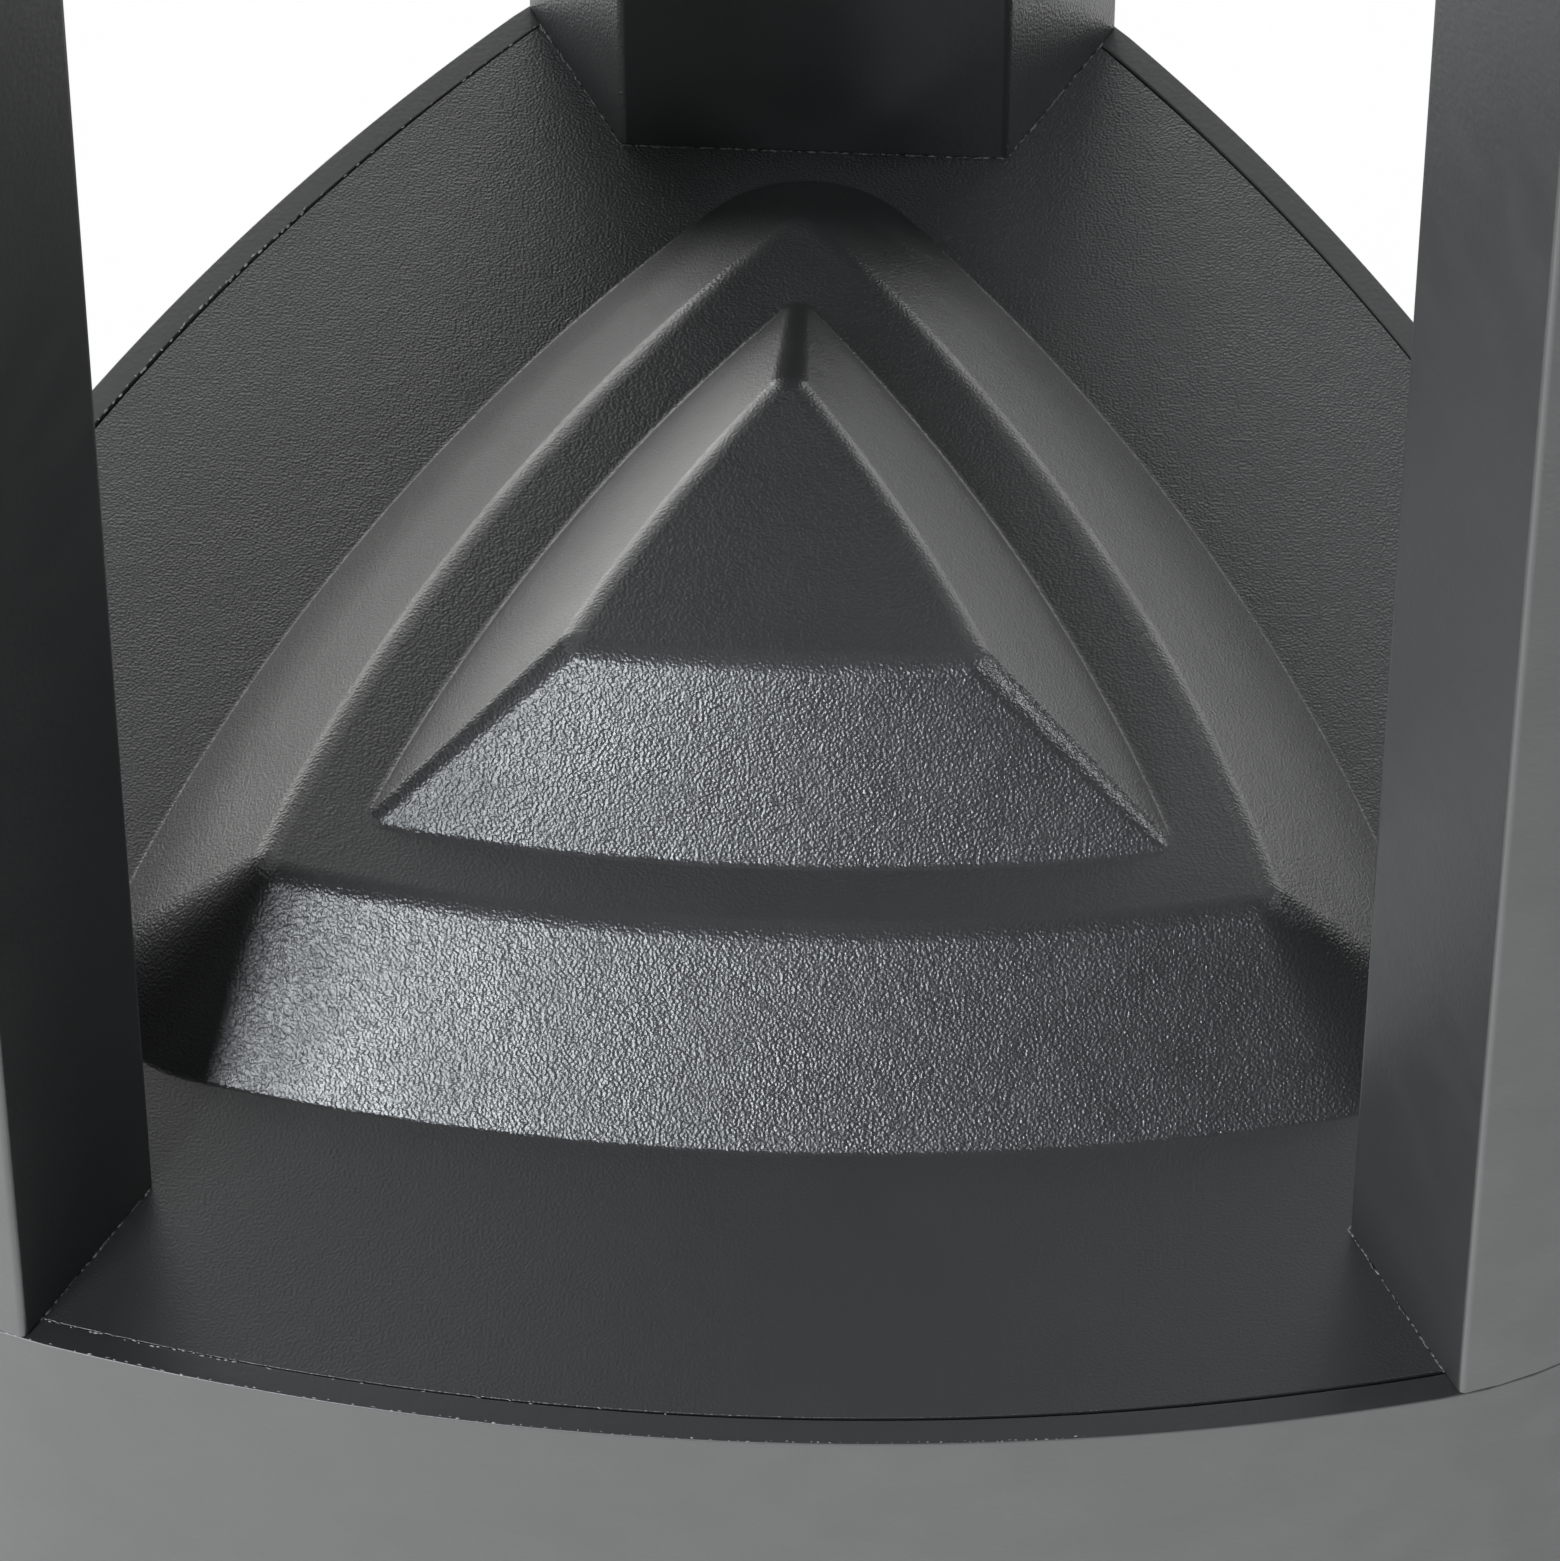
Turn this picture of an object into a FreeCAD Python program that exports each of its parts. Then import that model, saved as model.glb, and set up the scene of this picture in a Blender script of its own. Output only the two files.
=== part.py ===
import FreeCAD, Part
import math
import os

V = FreeCAD.Vector
tiny = 0.001

# Path light with a rounded triangular section. Millimetres and degrees, ground at z = 0.

# Outline shared by column, posts and head: three bulging sides and three rounded corners
side_apothem = 75.0
side_radius = 250.0
corner_radius = 40.0
rear_angle = 90.0
corner_names = ("rear", "left", "right")

# Heights of the main stages
sill_height = 400.0
window_height = 200.0
head_height = 50.0

# Column extrusion with a screw port in each corner
column_wall = 2.5
rod_setback = 14.0
port_radius = 7.0
port_web = 5.0
port_lift = 19.0

# Stepped deflector, set flush in the rim
seam_gap = 0.3
flange_thickness = 4.0
deflector_wall = 3.0
tier_height = 13.5
margin_width = 30.4
lower_run = 14.1
lower_top_rounding = 2.0
step_width = 6.8
upper_base_rounding = 1.6
upper_run = 12.1
upper_top_rounding = 1.0
tier_post_gap = 3.6
cavity_rounding = 0.6
foot_fillet = 2.5
crest_fillet = 1.2

# Hollow posts
post_depth = 27.9
post_half_width = 17.9
post_splay = 30.0
post_wall = 3.0
post_edge = 0.6

# Tie rods with washers and nuts under the ports
rod_radius = 4.0
rod_clearance = 0.3
thread_clearance = 0.05
rod_tip = 3.0
washer_radius = 8.0
washer_thickness = 1.6
nut_flats = 13.0
nut_height = 6.5

# Head casting
head_wall = 3.5
head_top = 6.0
head_edge = 4.0
pad_height = 10.0
head_boss_radius = 8.0
rod_engagement = 30.0
rod_end_gap = 2.0
ledge_width = 4.0
ledge_height = 3.5
pedestal_margin = 2.0
pedestal_height = 16.0

# Plate that closes the head from below
frame_recess = 1.0
frame_thickness = 4.0
frame_clearance = 0.4
frame_gasket_thickness = 1.5
frame_boss_radius = 4.5
frame_boss_gap = 1.5
frame_boss_offset = 22.0
frame_screw_radius = 2.0
frame_screw_head = 4.0
frame_screw_grip = 9.0

# Round lens and its clamp ring
lens_overlap = 5.0
lens_radius = 54.0
lens_thickness = 4.0
lens_clearance = 0.6
lens_gasket_thickness = 1.5
lens_gasket_margin = 0.5
ring_wall = 5.4
ring_lip = 2.5
ring_screw_radius = 1.5
ring_screw_count = 6
ring_screw_skin = 0.8

# Light source
thermal_pad_thickness = 1.0
board_radius = 44.0
board_thickness = 1.6
chip_size = 3.0
chip_height = 0.7
chip_rings = {12: 29.0, 6: 14.0}
board_screw_count = 3
board_screw_margin = 5.0
board_screw_radius = 1.5
board_screw_grip = 8.0
connector_width = 12.0
connector_depth = 8.0
connector_height = 5.0
connector_margin = 8.0

# Pan heads of the small machine screws
pan_head_ratio = 1.8
pan_head_height = 2.0
drive_ratio = 0.6
drive_depth = 1.0
screw_clearance = 0.1
screw_end_gap = 1.0

# Base plate with a collar inside the column
plinth_height = 6.0
plinth_inset = 1.0
collar_clearance = 0.4
collar_wall = 6.0
collar_height = 30.0
anchor_circle = 120.0
anchor_hole_radius = 5.5
anchor_count = 3
set_screw_radius = 3.0
set_screw_length = 10.0
set_screw_recess = 0.4
set_screw_socket = 3.0

# Cable entry grommet
entry_radius = 13.0
entry_bore = 8.0
grommet_flange = 3.0
grommet_lip = 2.0
grommet_lift = 0.5
grommet_clearance = 0.2

# Gear tray with driver and terminals
tray_width = 50.0
tray_foot = 26.0
tray_thickness = 2.0
tray_margin = 8.0
tray_back = 28.0
tray_bend = 2.0
tray_screw_radius = 2.0
tray_screw_spacing = 30.0
tray_screw_depth = 4.0
driver_length = 110.0
driver_width = 40.0
driver_depth = 26.0
driver_rounding = 2.0
driver_ear = 12.0
driver_ear_thickness = 3.0
driver_screw_radius = 2.0
terminal_width = 36.0
terminal_depth = 17.0
terminal_height = 22.0
terminal_lift = 20.0
gear_gap = 10.0
terminal_poles = 3
terminal_wire_radius = 2.2
terminal_wire_depth = 7.0
terminal_driver_radius = 2.4
terminal_driver_depth = 6.0
terminal_screw_radius = 1.5
screw_tail = 3.0

# Earthing point
earth_radius = 3.0
earth_length = 18.0
earth_depth = 4.5
earth_flats = 10.0
earth_nut_height = 5.0
earth_nut_count = 2
earth_distance = 38.0
earth_angle = 155.0

# Lead from the driver to the light source, through the rear post
lead_radius = 2.5
lead_clearance = 1.0
lead_fit = 0.1
lead_side = 11.5
lead_setback = 2.0
lead_bend = 14.0
lead_drop = 2.9
lead_turn_drop = 41.0
lead_cross_rise = 65.0
lead_bore_depth = 4.0


def ray(angle, distance, side=0.0, height=0.0):
    turn = math.radians(angle)
    x = distance * math.cos(turn) - side * math.sin(turn)
    y = distance * math.sin(turn) + side * math.cos(turn)
    return V(x, y, height)


# Distance from the axis to the centre of a corner arc that runs smoothly into both sides
def corner_centre(inset, rounding):
    back = side_radius - side_apothem
    reach = side_radius - inset - rounding
    return (math.sqrt(4 * reach**2 - 3 * back**2) - back) / 2


# Corner rounding that brings the corner of an inset outline to a given distance from the axis
def rounding_for(inset, distance):
    back = side_radius - side_apothem
    arc = side_radius - inset
    return (arc**2 - back**2 - distance**2 - back * distance) / (2 * arc - 2 * distance - back)


# Levels and places that follow from the sizes above
corner_angles = {name: rear_angle + 120 * step for step, name in enumerate(corner_names)}
side_angles = [angle + 180 for angle in corner_angles.values()]
corner_distance = corner_centre(0, corner_radius) + corner_radius
rod_distance = corner_distance - rod_setback
lead_distance = rod_distance - lead_setback
post_inner_face = corner_distance - post_depth
head_bottom = sill_height + window_height
head_level = head_bottom + head_height
ceiling = head_level - head_top
flange_inset = column_wall + seam_gap
port_top = sill_height - flange_thickness
lower_top_inset = margin_width + lower_run
upper_base_inset = lower_top_inset + step_width
upper_top_inset = upper_base_inset + upper_run
lower_base_distance = post_inner_face - tier_post_gap
lower_base_rounding = rounding_for(margin_width, lower_base_distance)
upper_base_distance = corner_centre(upper_base_inset, upper_base_rounding) + upper_base_rounding
frame_low = head_bottom + frame_recess
frame_high = frame_low + frame_thickness
ledge_low = frame_high + frame_gasket_thickness
lens_opening = lens_radius - lens_overlap
lens_low = frame_high + lens_gasket_thickness
lens_high = lens_low + lens_thickness
ring_bore = lens_radius + lens_clearance
ring_radius = ring_bore + ring_wall
ring_high = lens_high + ring_lip
frame_boss_distance = ring_radius + frame_boss_gap + frame_boss_radius
pedestal_low = ceiling - pedestal_height
board_high = pedestal_low - thermal_pad_thickness
board_low = board_high - board_thickness
board_screw_distance = board_radius - board_screw_margin
connector_distance = board_radius - connector_margin
collar_inset = column_wall + collar_clearance
collar_level = plinth_height + collar_height
set_screw_height = plinth_height + collar_height / 2
port_bottom = collar_level + port_lift
washer_low = port_bottom - washer_thickness
nut_low = washer_low - nut_height
terminal_foot = plinth_height + terminal_lift
terminal_high = terminal_foot + terminal_height
driver_foot = terminal_high + gear_gap + driver_ear
driver_high = driver_foot + driver_length
tray_face = -tray_back
tray_high = driver_high + driver_ear + tray_margin
driver_face = tray_face + driver_depth
lead_cross_high = port_top - lead_turn_drop
lead_cross_low = lead_cross_high - lead_cross_rise


def lift(height):
    return V(0, 0, height)


# Closed outline at an inset from the outer surface, with its own corner rounding
def outline(inset, height, rounding=None):
    if rounding is None:
        rounding = corner_radius - inset
    back = side_radius - side_apothem
    arc = side_radius - inset
    reach = arc - rounding
    centre = corner_centre(inset, rounding)
    edges = []
    for angle in side_angles:
        pivot = ray(angle, -back, 0, height)
        next_pivot = ray(angle + 120, -back, 0, height)
        before = ray(angle - 60, centre, 0, height)
        after = ray(angle + 60, centre, 0, height)
        start = pivot + (before - pivot) * (arc / reach)
        middle = ray(angle, side_apothem - inset, 0, height)
        end = pivot + (after - pivot) * (arc / reach)
        apex = ray(angle + 60, centre + rounding, 0, height)
        onward = next_pivot + (after - next_pivot) * (arc / reach)
        edges.append(Part.Arc(start, middle, end).toShape())
        edges.append(Part.Arc(end, apex, onward).toShape())
    return Part.Wire(edges)


def slab(inset, low, high, rounding=None):
    return Part.Face(outline(inset, low, rounding)).extrude(lift(high - low))


def band(outer_inset, inner_inset, low, high):
    return slab(outer_inset, low, high).cut(slab(inner_inset, low, high))


def rod(radius, low, high, place=V(0, 0, 0)):
    return Part.makeCylinder(radius, high - low, V(place.x, place.y, low))


def tube(outer, inner, low, high, place=V(0, 0, 0)):
    return rod(outer, low, high, place).cut(rod(inner, low, high, place))


def block(low_corner, high_corner):
    size = high_corner - low_corner
    return Part.makeBox(size.x, size.y, size.z, low_corner)


def hexagon(flats, low, high, place=V(0, 0, 0)):
    corner = flats / math.sqrt(3)
    points = [ray(60 * step, corner, 0, low) + V(place.x, place.y, 0) for step in range(7)]
    return Part.Face(Part.makePolygon(points)).extrude(lift(high - low))


def around(count, distance, first=0.0):
    return [ray(first + 360.0 * step / count, distance) for step in range(count)]


def corner_places(distance):
    return [ray(angle, distance) for angle in corner_angles.values()]


def join(shapes):
    return shapes[0].multiFuse(shapes[1:]).removeSplitter()


# Cuts the same round hole at each place
def bored(body, radius, low, high, places):
    for place in places:
        body = body.cut(rod(radius, low, high, place))
    return body


# Pan head screw along +Z with the seat of its head at the given height, driven from below or above
def pan_screw(radius, seat, tip, place):
    way = 1 if tip < seat else -1
    shank = rod(radius, min(seat, tip), max(seat, tip), place)
    top = seat + way * pan_head_height
    head = rod(radius * pan_head_ratio, min(seat, top), max(seat, top), place)
    floor = top - way * drive_depth
    drive = rod(radius * drive_ratio, min(top, floor), max(top, floor), place)
    return shank.fuse(head).removeSplitter().cut(drive)


def pan_screws(radius, seat, tip, places):
    return Part.makeCompound([pan_screw(radius, seat, tip, place) for place in places])


# Prism with a flat inner face and splayed sides that reaches out past the corner
def wedge(angle, inner, half_width, low, high):
    outer = side_apothem + corner_radius
    spread = half_width + (outer - inner) * math.tan(math.radians(post_splay))
    plan = [(inner, half_width), (outer, spread), (outer, -spread), (inner, -half_width)]
    points = [ray(angle, distance, side, low) for distance, side in plan]
    points.append(points[0])
    return Part.Face(Part.makePolygon(points)).extrude(lift(high - low))


# Footprint of a post, grown or shrunk evenly
def footprint(angle, grow, low, high):
    splay = math.radians(post_splay)
    inner = post_inner_face - grow
    half_width = post_half_width + grow / math.cos(splay) - grow * math.tan(splay)
    return wedge(angle, inner, half_width, low, high)


def lead_place():
    return ray(corner_angles["rear"], lead_distance, lead_side)


def make_column():
    shell = band(0, column_wall, plinth_height, sill_height)
    ports = []
    for angle in corner_angles.values():
        ports.append(rod(port_radius, port_bottom, port_top, ray(angle, rod_distance)))
        half = port_web / 2
        web = block(V(rod_distance, -half, port_bottom), V(corner_distance, half, port_top))
        web.rotate(V(0, 0, 0), V(0, 0, 1), angle)
        ports.append(web.common(slab(0, port_bottom, port_top)))
    body = join([shell] + ports)
    body = bored(body, rod_radius + rod_clearance, port_bottom, port_top, corner_places(rod_distance))
    for screw in set_screw_bars(set_screw_radius + rod_clearance):
        body = body.cut(screw)
    return body


# Straight bars on the set screws' lines, from inside the collar out past the column
def set_screw_bars(radius):
    bars = []
    for angle in side_angles:
        start = ray(angle, side_apothem - set_screw_length * 2, 0, set_screw_height)
        bars.append(Part.makeCylinder(radius, set_screw_length * 3, start, ray(angle, 1)))
    return bars


def make_set_screws():
    screws = []
    for angle in side_angles:
        end = side_apothem - set_screw_recess
        bar = rod(set_screw_radius, 0, set_screw_length)
        socket = hexagon(set_screw_socket, set_screw_length - set_screw_socket, set_screw_length)
        screw = bar.cut(socket)
        screw.rotate(V(0, 0, 0), V(0, 1, 0), 90)
        screw.rotate(V(0, 0, 0), V(0, 0, 1), angle)
        screw.translate(ray(angle, end - set_screw_length, 0, set_screw_height))
        screws.append(screw)
    return Part.makeCompound(screws)


# One step of the deflector, lofted between two outlines
def tier(base_inset, base_rounding, top_inset, top_rounding, low, high):
    base = outline(base_inset, low, base_rounding)
    top = outline(top_inset, high, top_rounding)
    return Part.makeLoft([base, top], True, True)


# Edges of the level loop at a height whose corners lie between two distances from the axis
def level_loop(body, height, nearest, farthest):
    chosen = []
    for edge in body.Edges:
        heights = [vertex.Z for vertex in edge.Vertexes]
        spans = [math.hypot(vertex.X, vertex.Y) for vertex in edge.Vertexes]
        level = max(abs(value - height) for value in heights) < tiny
        if level and nearest < min(spans) and max(spans) < farthest:
            chosen.append(edge)
    return chosen


# Hollow underside that follows the two steps at the casting's wall thickness
def deflector_cavity():
    lower_slope = lower_run / tier_height
    upper_slope = upper_run / tier_height
    lower_shift = deflector_wall * math.hypot(1, lower_slope)
    upper_shift = deflector_wall * math.hypot(1, upper_slope)
    rise = tier_height - deflector_wall
    mouth_inset = margin_width + lower_shift
    mouth_rounding = rounding_for(mouth_inset, lower_base_distance - lower_shift)
    ledge_inset = mouth_inset + rise * lower_slope
    neck_inset = upper_base_inset + upper_shift - deflector_wall * upper_slope
    top_inset = neck_inset + upper_run
    ledge = sill_height + rise
    mouth = slab(mouth_inset, port_top, sill_height, mouth_rounding)
    lower = tier(mouth_inset, mouth_rounding, ledge_inset, cavity_rounding, sill_height, ledge)
    upper = tier(neck_inset, cavity_rounding, top_inset, cavity_rounding, ledge, ledge + tier_height)
    return join([mouth, lower, upper])


def make_deflector():
    step = sill_height + tier_height
    crest = step + tier_height
    flange = slab(flange_inset, port_top, sill_height)
    lower = tier(margin_width, lower_base_rounding, lower_top_inset, lower_top_rounding, sill_height, step)
    upper = tier(upper_base_inset, upper_base_rounding, upper_top_inset, upper_top_rounding, step, crest)
    body = flange.fuse(lower).fuse(upper)
    body = body.makeFillet(crest_fillet, level_loop(body, crest, 0, upper_base_distance))
    body = body.makeFillet(foot_fillet, level_loop(body, step, 0, upper_base_distance))
    ledge_start = upper_base_distance + foot_fillet
    body = body.makeFillet(crest_fillet, level_loop(body, step, ledge_start, post_inner_face))
    body = body.makeFillet(foot_fillet, level_loop(body, sill_height, 0, lower_base_distance))
    body = body.cut(deflector_cavity())
    body = bored(body, rod_radius + rod_clearance, port_top, sill_height, corner_places(rod_distance))
    return bored(body, lead_radius + lead_clearance, port_top, sill_height, [lead_place()])


def make_post(angle):
    body = footprint(angle, 0, sill_height, head_bottom).common(slab(0, sill_height, head_bottom))
    upright = [edge for edge in body.Edges if abs(edge.Length - window_height) < tiny]
    body = body.makeFillet(post_edge, upright)
    hollow = footprint(angle, -post_wall, sill_height, head_bottom)
    return body.cut(hollow.common(slab(post_wall, sill_height, head_bottom)))


def make_tie_rods():
    low = nut_low - rod_tip
    high = head_bottom + rod_engagement
    return Part.makeCompound([rod(rod_radius, low, high, place) for place in corner_places(rod_distance)])


def make_washers():
    bore = rod_radius + rod_clearance
    return Part.makeCompound(
        [tube(washer_radius, bore, washer_low, port_bottom, place) for place in corner_places(rod_distance)]
    )


def make_nuts():
    nuts = []
    for place in corner_places(rod_distance):
        nut = hexagon(nut_flats, nut_low, washer_low, place)
        nuts.append(nut.cut(rod(rod_radius + thread_clearance, nut_low, washer_low, place)))
    return Part.makeCompound(nuts)


def frame_boss_places():
    places = []
    for angle in side_angles:
        places.append(ray(angle - frame_boss_offset, frame_boss_distance))
        places.append(ray(angle + frame_boss_offset, frame_boss_distance))
    return places


def make_head():
    shell = slab(0, head_bottom, head_level)
    rim = level_loop(shell, head_level, 0, side_apothem + corner_radius)
    shell = shell.makeFillet(head_edge, rim)
    shell = shell.cut(slab(head_wall, head_bottom, ceiling))
    solids = [shell, band(head_wall, head_wall + ledge_width, ledge_low, ledge_low + ledge_height)]
    for angle in corner_angles.values():
        pad_high = head_bottom + pad_height
        pad = footprint(angle, 0, head_bottom, pad_high)
        solids.append(pad.common(slab(head_wall, head_bottom, pad_high)))
        solids.append(rod(head_boss_radius, head_bottom, ceiling, ray(angle, rod_distance)))
    for place in frame_boss_places():
        solids.append(rod(frame_boss_radius, frame_high, ceiling, place))
    solids.append(rod(board_radius + pedestal_margin, pedestal_low, ceiling))
    body = join(solids)
    rod_blind = head_bottom + rod_engagement + rod_end_gap
    screw_blind = frame_high + frame_screw_grip
    body = bored(body, rod_radius + thread_clearance, head_bottom, rod_blind, corner_places(rod_distance))
    body = bored(body, frame_screw_radius + screw_clearance, frame_high, screw_blind, frame_boss_places())
    board_hole = board_screw_radius + screw_clearance
    body = bored(body, board_hole, pedestal_low, board_screw_tip(), board_screw_places())
    return bored(body, lead_radius + lead_clearance, head_bottom, head_bottom + pad_height, [lead_place()])


def cut_pads(body, low, high):
    for angle in corner_angles.values():
        body = body.cut(footprint(angle, frame_clearance, low, high))
    return body


def make_lens_frame():
    plate = slab(head_wall + frame_clearance, frame_low, frame_high)
    plate = cut_pads(plate, frame_low, frame_high)
    plate = plate.cut(rod(lens_opening, frame_low, frame_high))
    for place in frame_boss_places():
        plate = plate.cut(frame_screw(place, screw_clearance))
    ring_hole = ring_screw_radius + screw_clearance
    return bored(plate, ring_hole, ring_screw_tip(), frame_high, ring_screw_places())


# Countersunk screw driven upwards, flush with the plate's lower face
def frame_screw(place, grow):
    shank = rod(frame_screw_radius + grow, frame_low, frame_high + frame_screw_grip - screw_end_gap, place)
    depth = frame_screw_head - frame_screw_radius
    cone = Part.makeCone(frame_screw_head + grow, frame_screw_radius + grow, depth, place + lift(frame_low))
    return shank.fuse(cone).removeSplitter()


def make_frame_screws():
    screws = []
    for place in frame_boss_places():
        socket = hexagon(frame_screw_radius, frame_low, frame_low + frame_screw_radius, place)
        screws.append(frame_screw(place, 0).cut(socket))
    return Part.makeCompound(screws)


def make_frame_gasket():
    strip = band(head_wall + frame_clearance, head_wall + ledge_width, frame_high, ledge_low)
    strip = bored(strip, frame_boss_radius + frame_clearance, frame_high, ledge_low, frame_boss_places())
    return cut_pads(strip, frame_high, ledge_low)


def make_lens():
    return rod(lens_radius, lens_low, lens_high)


def make_lens_gasket():
    return tube(lens_radius, lens_opening + lens_gasket_margin, frame_high, lens_low)


def ring_screw_places():
    return around(ring_screw_count, (ring_bore + ring_radius) / 2, side_angles[0])


def ring_screw_tip():
    return frame_low + ring_screw_skin


def make_lens_ring():
    body = tube(ring_radius, lens_opening, frame_high, ring_high)
    body = body.cut(rod(ring_bore, frame_high, lens_high))
    return bored(body, ring_screw_radius + screw_clearance, frame_high, ring_high, ring_screw_places())


def make_ring_screws():
    tip = ring_screw_tip() + screw_clearance
    return pan_screws(ring_screw_radius, ring_high, tip, ring_screw_places())


def board_screw_places():
    return around(board_screw_count, board_screw_distance, side_angles[0])


def board_screw_tip():
    return board_low + board_screw_grip


def make_board():
    body = rod(board_radius, board_low, board_high)
    return bored(body, board_screw_radius + screw_clearance, board_low, board_high, board_screw_places())


def make_thermal_pad():
    body = rod(board_radius, board_high, pedestal_low)
    return bored(body, board_screw_radius + screw_clearance, board_high, pedestal_low, board_screw_places())


def make_board_screws():
    tip = board_screw_tip() - screw_clearance
    return pan_screws(board_screw_radius, board_low, tip, board_screw_places())


def make_chips():
    half = V(chip_size / 2, chip_size / 2, 0)
    chips = []
    for count, distance in chip_rings.items():
        for place in around(count, distance):
            chips.append(block(place - half + lift(board_low - chip_height), place + half + lift(board_low)))
    return Part.makeCompound(chips)


def make_connector():
    centre = lead_place().x
    low = V(centre - connector_width / 2, connector_distance - connector_depth, board_low - connector_height)
    high = V(centre + connector_width / 2, connector_distance, board_low)
    return block(low, high).cut(lead_path_end(lead_fit))


# Base plate with collar, anchor holes, cable entry and threaded holes
def make_base():
    plate = slab(plinth_inset, 0, plinth_height)
    collar = band(collar_inset, collar_inset + collar_wall, plinth_height, collar_level)
    body = join([plate, collar])
    anchors = around(anchor_count, anchor_circle / 2, corner_angles["rear"])
    body = bored(body, anchor_hole_radius, 0, plinth_height, anchors)
    body = body.cut(rod(entry_radius + grommet_clearance, 0, plinth_height))
    counterbore = entry_radius + grommet_flange + grommet_clearance
    body = body.cut(rod(counterbore, 0, grommet_lift + grommet_lip))
    for screw in set_screw_bars(set_screw_radius + screw_clearance):
        body = body.cut(screw)
    tray_floor = plinth_height - tray_screw_depth
    earth_floor = plinth_height - earth_depth
    earth_place = ray(earth_angle, earth_distance)
    body = bored(body, tray_screw_radius + screw_clearance, tray_floor, plinth_height, tray_screw_places())
    return bored(body, earth_radius + thread_clearance, earth_floor, plinth_height, [earth_place])


def make_grommet():
    flange = entry_radius + grommet_flange
    lower_high = grommet_lift + grommet_lip
    solids = [
        rod(flange, grommet_lift, lower_high),
        rod(entry_radius, lower_high, plinth_height),
        rod(flange, plinth_height, plinth_height + grommet_lip),
    ]
    return join(solids).cut(rod(entry_bore, grommet_lift, plinth_height + grommet_lip))


def tray_screw_places():
    distance = tray_face - tray_thickness - tray_foot / 2
    return [V(-tray_screw_spacing / 2, distance, 0), V(tray_screw_spacing / 2, distance, 0)]


# Folded sheet: a foot on the base plate and an upright plate that carries the gear
def make_tray():
    half = tray_width / 2
    back = tray_face - tray_thickness
    foot_top = plinth_height + tray_thickness
    foot = block(V(-half, back - tray_foot, plinth_height), V(half, tray_face, foot_top))
    plate = block(V(-half, back, plinth_height), V(half, tray_face, tray_high))
    body = foot.fuse(plate).removeSplitter()
    heel = [edge for edge in body.Edges if is_line_at(edge, tray_face, plinth_height)]
    body = body.makeFillet(tray_bend, heel)
    body = bored(body, tray_screw_radius + screw_clearance, plinth_height, foot_top, tray_screw_places())
    for height in driver_screw_heights():
        body = body.cut(cross_bar(driver_screw_radius + screw_clearance, 0, height, back, tray_face))
    terminal_hole = cross_bar(terminal_screw_radius + screw_clearance, 0, terminal_middle(), back, tray_face)
    return body.cut(terminal_hole)


def is_line_at(edge, y, z):
    return all(abs(vertex.Y - y) < tiny and abs(vertex.Z - z) < tiny for vertex in edge.Vertexes)


def cross_bar(radius, x, z, back, front):
    return Part.makeCylinder(radius, front - back, V(x, back, z), V(0, 1, 0))


def make_tray_screws():
    seat = plinth_height + tray_thickness
    tip = plinth_height - tray_screw_depth + screw_clearance
    return pan_screws(tray_screw_radius, seat, tip, tray_screw_places())


def driver_screw_heights():
    return [driver_foot - driver_ear / 2, driver_high + driver_ear / 2]


def make_driver():
    half = driver_width / 2
    case = block(V(-half, tray_face, driver_foot), V(half, driver_face, driver_high))
    case = case.makeFillet(driver_rounding, [edge for edge in case.Edges if edge.Vertexes[0].Y > tray_face])
    ear_face = tray_face + driver_ear_thickness
    low = driver_foot - driver_ear
    high = driver_high + driver_ear
    ears = block(V(-driver_ear, tray_face, low), V(driver_ear, ear_face, high))
    body = join([case, ears])
    for height in driver_screw_heights():
        body = body.cut(cross_bar(driver_screw_radius + screw_clearance, 0, height, tray_face, ear_face))
    return body.cut(lead_path_start(lead_fit))


# Pan head screw along -Y, seated on a face and passing through the tray
def cross_screw(radius, x, z, seat):
    tail = tray_face - tray_thickness - screw_tail
    shank = cross_bar(radius, x, z, tail, seat)
    head = cross_bar(radius * pan_head_ratio, x, z, seat, seat + pan_head_height)
    top = seat + pan_head_height
    drive = cross_bar(radius * drive_ratio, x, z, top - drive_depth, top)
    return shank.fuse(head).removeSplitter().cut(drive)


def make_driver_screws():
    seat = tray_face + driver_ear_thickness
    return Part.makeCompound([cross_screw(driver_screw_radius, 0, z, seat) for z in driver_screw_heights()])


def terminal_middle():
    return (terminal_foot + terminal_high) / 2


def make_terminal():
    half = terminal_width / 2
    face = tray_face + terminal_depth
    body = block(V(-half, tray_face, terminal_foot), V(half, face, terminal_high))
    pitch = terminal_width / terminal_poles
    depth = tray_face + terminal_depth / 2
    for pole in range(terminal_poles):
        x = (pole - (terminal_poles - 1) / 2) * pitch
        inset = V(x, depth, 0)
        body = body.cut(rod(terminal_wire_radius, terminal_foot, terminal_foot + terminal_wire_depth, inset))
        body = body.cut(rod(terminal_wire_radius, terminal_high - terminal_wire_depth, terminal_high, inset))
        for z in (terminal_foot + terminal_wire_depth / 2, terminal_high - terminal_wire_depth / 2):
            body = body.cut(cross_bar(terminal_driver_radius, x, z, face - terminal_driver_depth, face))
    hole = cross_bar(terminal_screw_radius + screw_clearance, 0, terminal_middle(), tray_face, face)
    return body.cut(hole)


def make_terminal_screw():
    return cross_screw(terminal_screw_radius, 0, terminal_middle(), tray_face + terminal_depth)


def make_earth_stud():
    place = ray(earth_angle, earth_distance)
    return rod(earth_radius, plinth_height - earth_depth, plinth_height + earth_length, place)


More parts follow.
